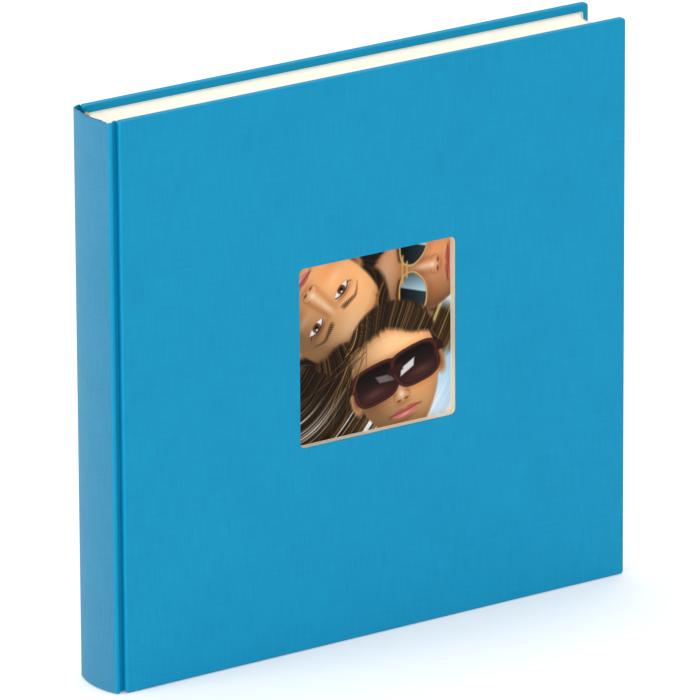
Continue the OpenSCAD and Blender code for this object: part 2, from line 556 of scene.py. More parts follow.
def cut(bm: bmesh.types.BMesh, place: Sequence[float], normal: Sequence[float]) -> None:
    """Cut every face along a plane.

    Args:
        bm: The mesh.
        place: A point on the plane.
        normal: Its direction.
    """
    geom = [*bm.verts, *bm.edges, *bm.faces]
    bmesh.ops.bisect_plane(bm, geom=geom, dist=1e-7, plane_co=place, plane_no=normal)


def lay_weave(bm: bmesh.types.BMesh, centre: tuple[float, float] | None = None, radius: float = 0.0) -> None:
    """Give cloth a UV map in metres that runs along its threads.

    Args:
        bm: The mesh.
        centre: Centre of a rounded back, where the cloth follows its curve.
        radius: Radius of that back.
    """
    layer = bm.loops.layers.uv.new("cloth")
    for face in bm.faces:
        normal = face.normal
        for loop in face.loops:
            co = loop.vert.co
            if centre is not None and abs(normal.z) < 0.8:
                around = math.atan2(co.y - centre[1], -(co.x - centre[0]))
                loop[layer].uv = (around * radius, co.z)
            elif abs(normal.z) >= 0.7:
                loop[layer].uv = (co.x, co.y + 0.31)
            elif abs(normal.x) > 0.7:
                loop[layer].uv = (co.y + 0.17, co.z)
            else:
                loop[layer].uv = (co.x, co.z)


def chain(bm: bmesh.types.BMesh, start: Vector, steps: Iterable[Vector]) -> list[bmesh.types.BMVert]:
    """Draw a line of vertices by extruding its end.

    Args:
        bm: The mesh.
        start: First point.
        steps: Moves from each point to the next.

    Returns:
        The vertices in order.
    """
    verts = [bm.verts.new(start)]
    for step in steps:
        made = bmesh.ops.extrude_vert_indiv(bm, verts=[verts[-1]])
        bmesh.ops.translate(bm, verts=made["verts"], vec=step)
        verts.append(made["verts"][0])
    return verts


def turn_line(
    bm: bmesh.types.BMesh, end: bmesh.types.BMVert, axis: tuple[int, int, int],
    centre: Sequence[float], angle: float,
) -> bmesh.types.BMVert:
    """Carry the end of a drawn line round an arc.

    Args:
        bm: The mesh.
        end: The line's end.
        axis: Axis of the arc.
        centre: Its centre.
        angle: How far it turns.

    Returns:
        The new end.
    """
    turned = bmesh.ops.spin(
        bm, geom=[end], axis=axis, cent=centre, angle=angle, steps=TURN_STEPS, use_merge=False
    )
    return [g for g in turned["geom_last"] if isinstance(g, bmesh.types.BMVert)][0]


def sweep_up(bm: bmesh.types.BMesh, low: float, high: float) -> None:
    """Raise a line drawn in plan into an upright sheet.

    Args:
        bm: The mesh, holding only the line.
        low: Height of the lower edge.
        high: Height of the upper edge.
    """
    for vert in bm.verts:
        vert.co.z = low
    made = bmesh.ops.extrude_edge_only(bm, edges=list(bm.edges))
    raised = [g for g in made["geom"] if isinstance(g, bmesh.types.BMVert)]
    bmesh.ops.translate(bm, verts=raised, vec=(0, 0, high - low))


def add_part(bm: bmesh.types.BMesh, part: bmesh.types.BMesh) -> None:
    """Add a part to a mesh.

    Args:
        bm: Receives the part.
        part: The part, which is freed.
    """
    mesh = bpy.data.meshes.new("part")
    part.to_mesh(mesh)
    part.free()
    bm.from_mesh(mesh)
    bpy.data.meshes.remove(mesh)


def reflect(bm: bmesh.types.BMesh, axes: tuple[int, int, int]) -> None:
    """Reflect a mesh and keep its faces looking out.

    Args:
        bm: The mesh.
        axes: -1 for each axis that turns over, 1 for the others.
    """
    bmesh.ops.scale(bm, verts=bm.verts, vec=axes)
    bmesh.ops.reverse_faces(bm, faces=bm.faces)


def thicken(piece: bpy.types.Object, thickness: float, offset: float = -1.0) -> None:
    """Give a sheet its thickness.

    Args:
        piece: The sheet.
        thickness: How thick.
        offset: -1 grows it behind its faces, 0 on both sides.
    """
    wall = piece.modifiers.new("thickness", "SOLIDIFY")
    wall.thickness = thickness
    wall.offset = offset
    wall.use_even_offset = True
    piece.modifiers.move(len(piece.modifiers) - 1, 0)


@dataclass
class Case:
    """Sizes of the case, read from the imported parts."""

    cloth_low: Vector = field(default_factory=lambda: Vector(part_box("front_cloth")[0]))
    cloth_high: Vector = field(default_factory=lambda: Vector(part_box("front_cloth")[1]))
    spine_box: tuple[Vector, Vector] = field(
        default_factory=lambda: (Vector(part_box("spine_cloth")[0]), Vector(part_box("spine_cloth")[1]))
    )
    page_high: Vector = field(default_factory=lambda: Vector(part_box("section_01")[1]))
    turn_in: float = 15 * MM
    cloth: float = 0.45 * MM
    spine_radius: float = 40 * MM
    window: float = 95 * MM
    window_z: float = 156 * MM

    @property
    def hinge_x(self) -> float:
        """Where the back ends and the groove starts."""
        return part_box("front_joint_cloth")[0][0] - 0.1 * MM

    @property
    def spine_half(self) -> float:
        """Half width of the back."""
        return self.spine_box[1].y

    @property
    def hinge_y(self) -> float:
        """Distance of a cover's turning line from the middle."""
        return self.spine_half + 0.2 * MM

    @property
    def spine_centre(self) -> float:
        """X of the centre of the rounded back."""
        return self.spine_box[0].x + self.spine_radius

    @property
    def window_x(self) -> float:
        """X of the window's centre."""
        return (self.cloth_low.x + self.cloth_high.x) / 2


@dataclass
class CoverCloth:
    """Cloth drawn over a cover board and turned in on three sides."""

    case: Case
    side: Side
    corner_radius: float = 1.6 * MM
    edge_radius: float = 0.85 * MM
    window_radius: float = 3.0 * MM
    mitre_width: float = 0.45 * MM
    mitre_depth: float = 0.38 * MM

    def inside(self, co: Vector, margin: float = 0.0) -> bool:
        """Whether a point lies within the window's square, seen from the front."""
        half = self.case.window / 2 + margin
        return abs(co.x - self.case.window_x) < half and abs(co.z - self.case.window_z) < half

    def build(self, finishes: Finishes) -> bpy.types.Object:
        """Model and dress the cloth.

        Args:
            finishes: The materials.

        Returns:
            The piece.
        """
        low, high, case = self.case.cloth_low, self.case.cloth_high, self.case
        bm = bmesh.new()
        bmesh.ops.create_cube(bm, size=1.0)
        bmesh.ops.scale(bm, verts=bm.verts, vec=high - low)
        bmesh.ops.translate(bm, verts=bm.verts, vec=(low + high) / 2)
        self.bevel_corners(bm)
        cut(bm, (high.x - case.turn_in, 0, 0), (1, 0, 0))
        cut(bm, (0, 0, case.turn_in), (0, 0, 1))
        cut(bm, (0, 0, high.z - case.turn_in), (0, 0, 1))
        if self.side is Side.FRONT:
            self.open_window(bm)
        self.drop_hidden(bm)
        self.score_mitres(bm)
        if self.side is Side.BACK:
            reflect(bm, (1, -1, 1))
        bm.normal_update()
        lay_weave(bm)
        piece = finish_mesh(f"{self.side.label}_cover_cloth", bm, finishes.cloth)
        thicken(piece, case.cloth)
        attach(piece, f"{self.side.label}_cover")
        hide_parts(f"{self.side.label}_cloth")
        return piece

    def bevel_corners(self, bm: bmesh.types.BMesh) -> None:
        """Round the wrapped corners, then the long edges.

        Args:
            bm: The mesh.
        """
        corners = [e for e in bm.edges if abs(e.verts[0].co.y - e.verts[1].co.y) > 1 * MM]
        bevel(bm, corners, self.corner_radius, 4)
        rims = [e for e in bm.edges if abs(e.verts[0].co.y - e.verts[1].co.y) < TINY]
        flat = [e for e in rims if any(abs(f.normal.y) > 0.9 for f in e.link_faces)]
        bevel(bm, flat, self.edge_radius, 4)

    def open_window(self, bm: bmesh.types.BMesh) -> None:
        """Cut the rounded square window through both faces.

        Args:
            bm: The mesh.
        """
        case, half = self.case, self.case.window / 2
        for x in (case.window_x - half, case.window_x + half):
            cut(bm, (x, 0, 0), (1, 0, 0))
        for z in (case.window_z - half, case.window_z + half):
            cut(bm, (0, 0, z), (0, 0, 1))
        panes = [f for f in bm.faces if abs(f.normal.y) > 0.9 and self.inside(f.calc_center_median())]
        bmesh.ops.delete(bm, geom=panes, context="FACES")
        rim = [e for e in bm.edges if len(e.link_faces) == 1]
        bmesh.ops.bridge_loops(bm, edges=rim)
        uprights = [
            e for e in bm.edges
            if abs(e.verts[0].co.y - e.verts[1].co.y) > 1 * MM and self.inside(e.verts[0].co, 0.1 * MM)
        ]
        bevel(bm, uprights, self.window_radius, 6)

    def drop_hidden(self, bm: bmesh.types.BMesh) -> None:
        """Remove the walls of the window and the inner face behind the board.

        Args:
            bm: The mesh.
        """
        case = self.case
        inner, right, top = case.cloth_high.y, case.cloth_high.x, case.cloth_high.z
        gone = []
        for face in bm.faces:
            co = face.calc_center_median()
            wall = self.side is Side.FRONT and abs(face.normal.y) < 0.5 and self.inside(co, 0.1 * MM)
            behind = abs(co.y - inner) < 1e-5 and co.x < right - case.turn_in
            behind = behind and case.turn_in < co.z < top - case.turn_in
            if wall or behind:
                gone.append(face)
        bmesh.ops.delete(bm, geom=gone, context="FACES")

    def score_mitres(self, bm: bmesh.types.BMesh) -> None:
        """Draw the folded mitre across the two inner fore-edge corners.

        Args:
            bm: The mesh.
        """
        case = self.case
        inner, right, top = case.cloth_high.y, case.cloth_high.x, case.cloth_high.z
        for z, way in ((0.0, 1.0), (top, -1.0)):
            near = Vector((right - case.turn_in, inner, z + way * case.turn_in))
            normal = Vector((1, 0, way))
            faces = [
                f for f in bm.faces
                if f.normal.y > 0.9 and f.calc_center_median().x > near.x
                and (f.calc_center_median().z - near.z) * way < 0
            ]
            rims = {e for f in faces for e in f.edges}
            corners = {v for f in faces for v in f.verts}
            made = bmesh.ops.bisect_plane(
                bm, geom=[*corners, *rims, *faces], dist=1e-7, plane_co=near, plane_no=normal
            )
            seam = [g for g in made["geom_cut"] if isinstance(g, bmesh.types.BMEdge)]
            before = set(bm.verts)
            bevel(bm, seam, self.mitre_width, 2)
            middle = [
                v for v in bm.verts
                if v not in before and abs((v.co - near).dot(normal)) < TINY and abs(v.co.y - inner) < TINY
            ]
            bmesh.ops.translate(bm, verts=middle, vec=(0, -self.mitre_depth, 0))


@dataclass
class SpineCase:
    """The rounded back and the two grooves beside it."""

    case: Case
    stiffener: float = 1.3 * MM
    floor_y: float = 14.75 * MM
    shoulder: float = 1.6 * MM
    hollow: float = 1.0 * MM
    dip: float = math.radians(60)
    overrun: float = math.radians(4)
    lap: float = 0.25 * MM
    short: float = 0.2 * MM

    def build(self, finishes: Finishes) -> list[bpy.types.Object]:
        """Model the cloth of the back and the grooves.

        Args:
            finishes: The materials.

        Returns:
            The pieces.
        """
        return [self.back(finishes), self.groove(finishes, Side.FRONT), self.groove(finishes, Side.BACK)]

    def back(self, finishes: Finishes) -> bpy.types.Object:
        """Spin the hemmed profile of the cloth round the back.

        Args:
            finishes: The materials.

        Returns:
            The piece.
        """
        case = self.case
        top = case.cloth_high.z
        arc = math.asin(case.spine_half / case.spine_radius) + self.overrun
        bm = bmesh.new()
        mouths = [self.hemmed_line(bm, inset) for inset in (0.0, case.cloth)]
        bmesh.ops.contextual_create(bm, geom=mouths)
        half = [*bm.verts, *bm.edges]
        bmesh.ops.mirror(
            bm, geom=half, matrix=Matrix.Translation((0, 0, -top / 2)), merge_dist=TINY, axis="Z",
        )
        bmesh.ops.rotate(
            bm, verts=bm.verts, cent=(case.spine_centre, 0, 0), matrix=Matrix.Rotation(-arc, 3, "Z")
        )
        bmesh.ops.spin(
            bm, geom=[*bm.verts, *bm.edges], axis=(0, 0, 1), cent=(case.spine_centre, 0, 0),
            angle=2 * arc, steps=32, use_merge=False,
        )
        bmesh.ops.remove_doubles(bm, verts=bm.verts, dist=1e-7)
        bmesh.ops.bisect_plane(
            bm, geom=[*bm.verts, *bm.edges, *bm.faces], dist=1e-7,
            plane_co=(case.hinge_x, 0, 0), plane_no=(1, 0, 0), clear_outer=True,
        )
        bmesh.ops.holes_fill(bm, edges=[e for e in bm.edges if e.is_boundary], sides=0)
        bmesh.ops.recalc_face_normals(bm, faces=bm.faces)
        lay_weave(bm, (case.spine_centre, 0.0), case.spine_radius)
        # The back wears the greyer copy of the cover cloth, whose extra pallor is painted sheen.
        piece = finish_mesh("spine_cover_cloth", bm, finishes.back)
        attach(piece, "spine")
        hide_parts("spine_cloth")
        return piece

    def bulge(self) -> list[Vector]:
        """Carry the cloth of the rear groove out level with the board.

        Returns:
            Moves along the line, drawn for the front and mirrored later.
        """
        case = self.case
        width = case.cloth_low.x + self.lap - case.hinge_x
        rise = -case.cloth_low.y - 0.15 * MM - case.spine_half
        turns = [math.pi / 2 * i / 12 for i in range(13)]
        line = [Vector((width * t / (math.pi / 2), -rise * math.sin(t), 0)) for t in turns]
        return [b - a for a, b in zip(line, line[1:])]

    def hemmed_line(self, bm: bmesh.types.BMesh, inset: float) -> bmesh.types.BMVert:
        """Draw the lower half of one face of the cloth, folded in over the stiffener.

        Args:
            bm: Receives the line.
            inset: Distance behind the cloth's outer face.

        Returns:
            The line's end at the mouth of the fold.
        """
        case = self.case
        fold = self.stiffener / 2 + 0.5 * MM
        middle = case.spine_centre - case.spine_radius + fold
        first = Vector((middle + fold - inset, 0, case.turn_in))
        verts = chain(bm, first, [Vector((0, 0, fold - case.turn_in))])
        last = turn_line(bm, verts[-1], (0, 1, 0), (middle, 0, fold), math.pi)
        chain(bm, last.co.copy(), [Vector((0, 0, (case.cloth_high.z / 2 - fold) / 4))] * 4)
        bmesh.ops.remove_doubles(bm, verts=bm.verts, dist=1e-7)
        return min(bm.verts, key=lambda v: (v.co - first).length)

    def groove(self, finishes: Finishes, side: Side) -> bpy.types.Object:
        """Lay cloth from the edge of the back, down into the groove and up to the board.

        Args:
            finishes: The materials.
            side: Which groove.

        Returns:
            The piece.
        """
        case = self.case
        arc = math.asin(case.spine_half / case.spine_radius)
        bm = bmesh.new()
        heading = -math.pi / 2 + arc
        fall = case.spine_half - self.floor_y
        drop = self.shoulder * (math.cos(heading) - math.cos(self.dip))
        slope = (fall - drop - self.hollow * (1 - math.cos(self.dip))) / math.sin(self.dip)
        steps: list[Vector] = []
        bends = ((self.shoulder, self.dip - heading, 9), (0.0, slope, 3), (self.hollow, -self.dip, 6))
        for radius, turn, count in bends:
            for _ in range(count):
                bend = turn / count if radius else 0.0
                length = 2 * radius * math.sin(abs(bend) / 2) if radius else turn / count
                middle = heading + bend / 2
                steps.append(Vector((math.cos(middle), math.sin(middle), 0)) * length)
                heading += bend
        start = Vector((case.hinge_x, -case.spine_half, 0))
        rest = case.cloth_low.x + self.lap - start.x - sum(s.x for s in steps)
        steps += [Vector((rest / 4, 0, 0))] * 4
        chain(bm, start, self.bulge() if side is Side.BACK else steps)
        sweep_up(bm, case.cloth_low.z + self.short, case.cloth_high.z - self.short)
        bmesh.ops.recalc_face_normals(bm, faces=bm.faces)
        if sum(f.normal.y for f in bm.faces) > 0:
            bmesh.ops.reverse_faces(bm, faces=bm.faces)
        if side is Side.BACK:
            reflect(bm, (1, -1, 1))
        bm.normal_update()
        lay_weave(bm)
        piece = finish_mesh(f"{side.label}_groove_cloth", bm, finishes.cloth)
        thicken(piece, case.cloth)
        y = side.value * case.hinge_y
        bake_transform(piece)
        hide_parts(f"{side.label}_joint_cloth")
        return piece


@dataclass
class PageBlock:
    """Ten sewn sections of folded card and the free leaves of the endpapers."""

    case: Case
    sections: int = 10
    sheets: int = 3
    leaf: float = 0.43 * MM
    bend: float = 17 * MM
    round_radius: float = 17.5 * MM
    edge_half: float = 13.2 * MM
    section_gap: float = 0.03 * MM
    flyleaf: float = 0.22 * MM
    flyleaf_tip: float = 1.6 * MM
    flyleaf_bend: float = 22 * MM

    def build(self, finishes: Finishes) -> list[bpy.types.Object]:
        """Model every section and free leaf.

        Args:
            finishes: The materials.

        Returns:
            The pieces.
        """
        pieces = [self.section(k, finishes) for k in range(1, self.sections + 1)]
        for name, section in (("front_flyleaf", "section_01"), ("rear_flyleaf", "section_10")):
            pieces.append(self.free_leaf(name, finishes))
        return pieces

    def fore_edge(self, y: float) -> float:
        """X of the hollow fore-edge at a depth y."""
        centre = self.case.page_high.x + self.full_setback()
        return centre - math.sqrt(self.round_radius**2 - y * y)

    def full_setback(self) -> float:
        """Distance from the outer leaves' fore-edge to the centre of its hollow."""
        return math.sqrt(self.round_radius**2 - self.edge_half**2)

    def section(self, number: int, finishes: Finishes) -> bpy.types.Object:
        """Nest the folded sheets of one section.

        Args:
            number: Which section, counted from the front.
            finishes: The materials.

        Returns:
            The piece.
        """
        node = f"section_{number:02d}"
        low, high = (Vector(c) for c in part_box(node))
        middle, pitch = (low.y + high.y) / 2, high.y - low.y + self.section_gap
        rng = np.random.default_rng(40 + number)
        bm = bmesh.new()
        for sheet in range(self.sheets):
            radius = pitch / 2 - (sheet + 0.5) * pitch / 2 / self.sheets
            self.folded_sheet(bm, low, high, middle, radius, pitch / 2, rng)
        bmesh.ops.recalc_face_normals(bm, faces=bm.faces)
        piece = finish_mesh(node + "_leaves", bm, finishes.page, 50.0)
        thicken(piece, self.leaf, 0.0)
        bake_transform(piece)
        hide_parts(node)
        return piece

    def folded_sheet(
        self, bm: bmesh.types.BMesh, low: Vector, high: Vector, middle: float,
        radius: float, outer: float, rng: np.random.Generator,
    ) -> None:
        """Fold one sheet round the section's middle line.

        Args:
            bm: Receives the sheet.
            low: Lowest corner of the section.
            high: Highest corner of the section.
            middle: Depth of the middle line.
            radius: Distance of the leaves from it.
            outer: Half thickness of the section.
            rng: Source of the small unevenness of hand trimming.
        """
        part = bmesh.new()
        centre = Vector((low.x + outer, middle, 0))
        ends = [
            self.fore_edge(middle + way * radius) + float(rng.uniform(-0.12, 0.05)) * MM
            for way in (-1.0, 1.0)
        ]
        stops = [centre.x + self.bend * (i + 1) / 9 for i in range(9)]
        far = self.far_stops(stops[-1], ends[0])
        path = list(reversed([*stops, *far])) + [centre.x]
        steps = [Vector((b - a, 0, 0)) for a, b in zip(path, path[1:])]
        verts = chain(part, Vector((path[0], middle - radius, 0)), steps)
        last = turn_line(part, verts[-1], (0, 0, 1), centre, -math.pi)
        if last.co.y < middle or min(v.co.x for v in part.verts) > centre.x - radius * 0.9:
            raise RuntimeError("a sheet folded the wrong way")
        far = self.far_stops(stops[-1], ends[1])
        for a, b in zip([centre.x, *stops, *far], [*stops, *far]):
            made = bmesh.ops.extrude_vert_indiv(part, verts=[last])
            last = made["verts"][0]
            bmesh.ops.translate(part, verts=[last], vec=(b - a, 0, 0))
        trim = float(rng.uniform(-0.08, 0.0)) * MM
        sweep_up(part, low.z - trim, high.z + trim)
        add_part(bm, part)

    def far_stops(self, start: float, end: float) -> list[float]:
        """Space out the flat part of a leaf, closely at its cut edge."""
        return [start + (end - start) * share for share in (0.4, 0.75, 0.995, 1.0)]

    def free_leaf(self, name: str, finishes: Finishes) -> bpy.types.Object:
        """Lay one free endpaper beside the block.

        Args:
            name: The leaf's node, which also names the piece.
            finishes: The materials.

        Returns:
            The piece.
        """
        low, high = (Vector(c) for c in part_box(name))
        middle = (low.y + high.y) / 2
        bm = bmesh.new()
        tip = self.flyleaf_tip
        stops = [tip, *[self.flyleaf_bend / 8] * 8]
        stops += [(high.x - low.x + tip - sum(stops)) / 3] * 3
        chain(bm, Vector((low.x - tip, middle, 0)), [Vector((s, 0, 0)) for s in stops])
        sweep_up(bm, low.z, high.z)
        piece = finish_mesh(name + "_sheet", bm, finishes.endpaper, 50.0)
        thicken(piece, self.flyleaf, 0.0)
        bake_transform(piece)
        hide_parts(name)
        return piece


@dataclass
class StripedBand:
    """A striped bead over the folds, on a strip glued down the back of the block."""

    case: Case
    end: End
    bead: float = 0.95 * MM
    round_radius: float = 17.5 * MM
    half_angle: float = math.radians(43)
    strip: float = 9 * MM

    def build(self, finishes: Finishes) -> bpy.types.Object:
        """Model and dress the band.

        Args:
            finishes: The materials.

        Returns:
            The piece.
        """
        name = "headband" if self.end is End.HEAD else "tailband"
        centre = Vector((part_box("section_05")[0][0] + self.round_radius, 0, 0))
        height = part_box("headband")[1][2] - self.bead
        bm = bmesh.new()
        ring = bmesh.ops.create_circle(bm, cap_ends=False, segments=12, radius=self.bead)["verts"]
        bmesh.ops.rotate(bm, verts=ring, cent=(0, 0, 0), matrix=Matrix.Rotation(math.pi / 2, 3, "X"))
        bmesh.ops.translate(bm, verts=ring, vec=(centre.x - self.round_radius - self.bead, 0, height))
        bmesh.ops.rotate(bm, verts=ring, cent=centre, matrix=Matrix.Rotation(-self.half_angle, 3, "Z"))
        rim = list(bm.edges)
        bmesh.ops.spin(
            bm, geom=[*ring, *rim], axis=(0, 0, 1), cent=centre,
            angle=2 * self.half_angle, steps=120, use_merge=False,
        )
        ends = [e for e in bm.edges if len(e.link_faces) == 1]
        bmesh.ops.holes_fill(bm, edges=ends, sides=0)
        bmesh.ops.recalc_face_normals(bm, faces=bm.faces)
        self.add_strip(bm, centre, height)
        if self.end is End.TAIL:
            top = self.case.cloth_high.z
            reflect(bm, (1, 1, -1))
            bmesh.ops.translate(bm, verts=bm.verts, vec=(0, 0, top))
        layer = bm.loops.layers.uv.new("band")
        for face in bm.faces:
            for loop in face.loops:
                co = loop.vert.co
                around = math.atan2(co.y, centre.x - co.x)
                loop[layer].uv = (around / (2 * self.half_angle) + 0.5, (co.z - height) / (6 * self.bead))
        piece = finish_mesh(name + "_silk", bm, finishes.band, 60.0)
        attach(piece, "spine")
        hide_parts(name)
        return piece

    def add_strip(self, bm: bmesh.types.BMesh, centre: Vector, height: float) -> None:
        """Add the woven strip below the bead.

        Args:
            bm: Receives the strip.
            centre: Centre of the rounded block.
            height: Height of the bead's middle.
        """
        part = bmesh.new()
        first = part.verts.new((centre.x - self.round_radius - 0.5 * MM, 0, height))
        lower = bmesh.ops.extrude_vert_indiv(part, verts=[first])["verts"]
        bmesh.ops.translate(part, verts=lower, vec=(0, 0, -self.strip))
        start = Matrix.Rotation(-self.half_angle, 3, "Z")
        bmesh.ops.rotate(part, verts=part.verts, cent=centre, matrix=start)
        bmesh.ops.spin(
            part, geom=[*part.verts, *part.edges], axis=(0, 0, 1), cent=centre,
            angle=2 * self.half_angle, steps=30, use_merge=False,
        )
        bmesh.ops.recalc_face_normals(part, faces=part.faces)
        bmesh.ops.solidify(part, geom=list(part.faces), thickness=0.2 * MM)
        add_part(bm, part)


class Eyewear(Enum):
    """What a printed head wears over its eyes."""

    NONE = "none"
    AVIATOR = "aviator"
    WRAP = "wrap"


@dataclass(frozen=True)
class HeadStyle:
    """Place, tilt and dress of one printed head; lengths in mm from the print's middle."""

    centre: tuple[float, float]
    crown: float
    half_width: float
    skin: Colour
    blush: Colour
    hair_dark: Colour
    hair_light: Colour
    eyewear: Eyewear
    seed: int


def edge(distance: np.ndarray, soft: float = 0.02) -> np.ndarray:
    """Turn a signed distance, negative inside, into a soft-edged mask."""
    return np.clip(0.5 - distance / (2 * soft), 0.0, 1.0)


def oval(x: np.ndarray, y: np.ndarray, width: float, height: float, power: float = 2.0) -> np.ndarray:
    """Measure about how far points lie outside an oval.

    Args:
        x: Across, from the oval's middle.
        y: Up, from the oval's middle.
        width: Half width.
        height: Half height.
        power: 2 for an ellipse, more for squarer corners.

    Returns:
        The signed distance, negative inside.
    """
    reach = (np.abs(x / width) ** power + np.abs(y / height) ** power) ** (1 / power)
    return (reach - 1) * min(width, height)


def blob(x: np.ndarray, y: np.ndarray, width: float, height: float) -> np.ndarray:
    """A soft round patch that fades from 1 at its middle."""
    return np.exp(-((x / width) ** 2) - (y / height) ** 2)


def strands(across: np.ndarray, seed: int, fineness: float) -> np.ndarray:
    """Streaks that vary across a flow of hair.

    Args:
        across: Place across the flow.
        seed: Picks the pattern.
        fineness: Streaks per unit.

    Returns:
        Values about 0 to 1.
    """
    table = np.random.default_rng(seed).random(1024)
    total = np.zeros_like(across)
    for octave, weight in ((1, 0.5), (2.3, 0.3), (5.1, 0.2)):
        total += weight * np.interp((across * fineness * octave + 300) % 1023, np.arange(1024), table)
    return total


class Print:
    """Colours of the print at a set of points, in everyday red, green and blue."""

    def __init__(self, u: np.ndarray, v: np.ndarray) -> None:
        """Start with pale sky.

        Args:
            u: Across, in mm from the middle.
            v: Up, in mm from the middle.
        """
        self.u, self.v = u, v
        sky = np.array([0.86, 0.92, 0.97])
        self.ink = np.repeat(sky[None, :], len(u), axis=0)
        self.ink += blob(u - 46, v + 20, 30, 26)[:, None] * np.array([-0.16, -0.06, 0.0])

    def lay(self, mask: np.ndarray, colour: Sequence[float] | np.ndarray) -> None:
        """Cover the masked points with a colour or an array of colours."""
        self.ink += mask[:, None] * (np.asarray(colour) - self.ink)

    def tint(self, mask: np.ndarray, colour: Sequence[float]) -> None:
        """Multiply the masked points by a colour."""
        self.ink *= 1 + mask[:, None] * (np.asarray(colour) - 1)

    def hair(
        self, mask: np.ndarray, across: np.ndarray, seed: int, dark: Colour, light: Colour, fineness: float
    ) -> None:
        """Lay streaked hair.

        Args:
            mask: Where it lies.
            across: Place across its flow.
            seed: Picks the streaks.
            dark: Colour between the strands.
            light: Colour on the strands.
            fineness: Streaks per mm.
        """
        streak = strands(across, seed, fineness)
        broad = strands(across, seed + 100, fineness * 0.12)
        gloss = np.clip((streak - 0.42) * 2.6, 0, 1) * np.clip((broad - 0.2) * 1.8, 0.12, 1)
        colours = np.asarray(dark) + gloss[:, None] * (np.asarray(light) - np.asarray(dark))
        self.lay(mask, colours)


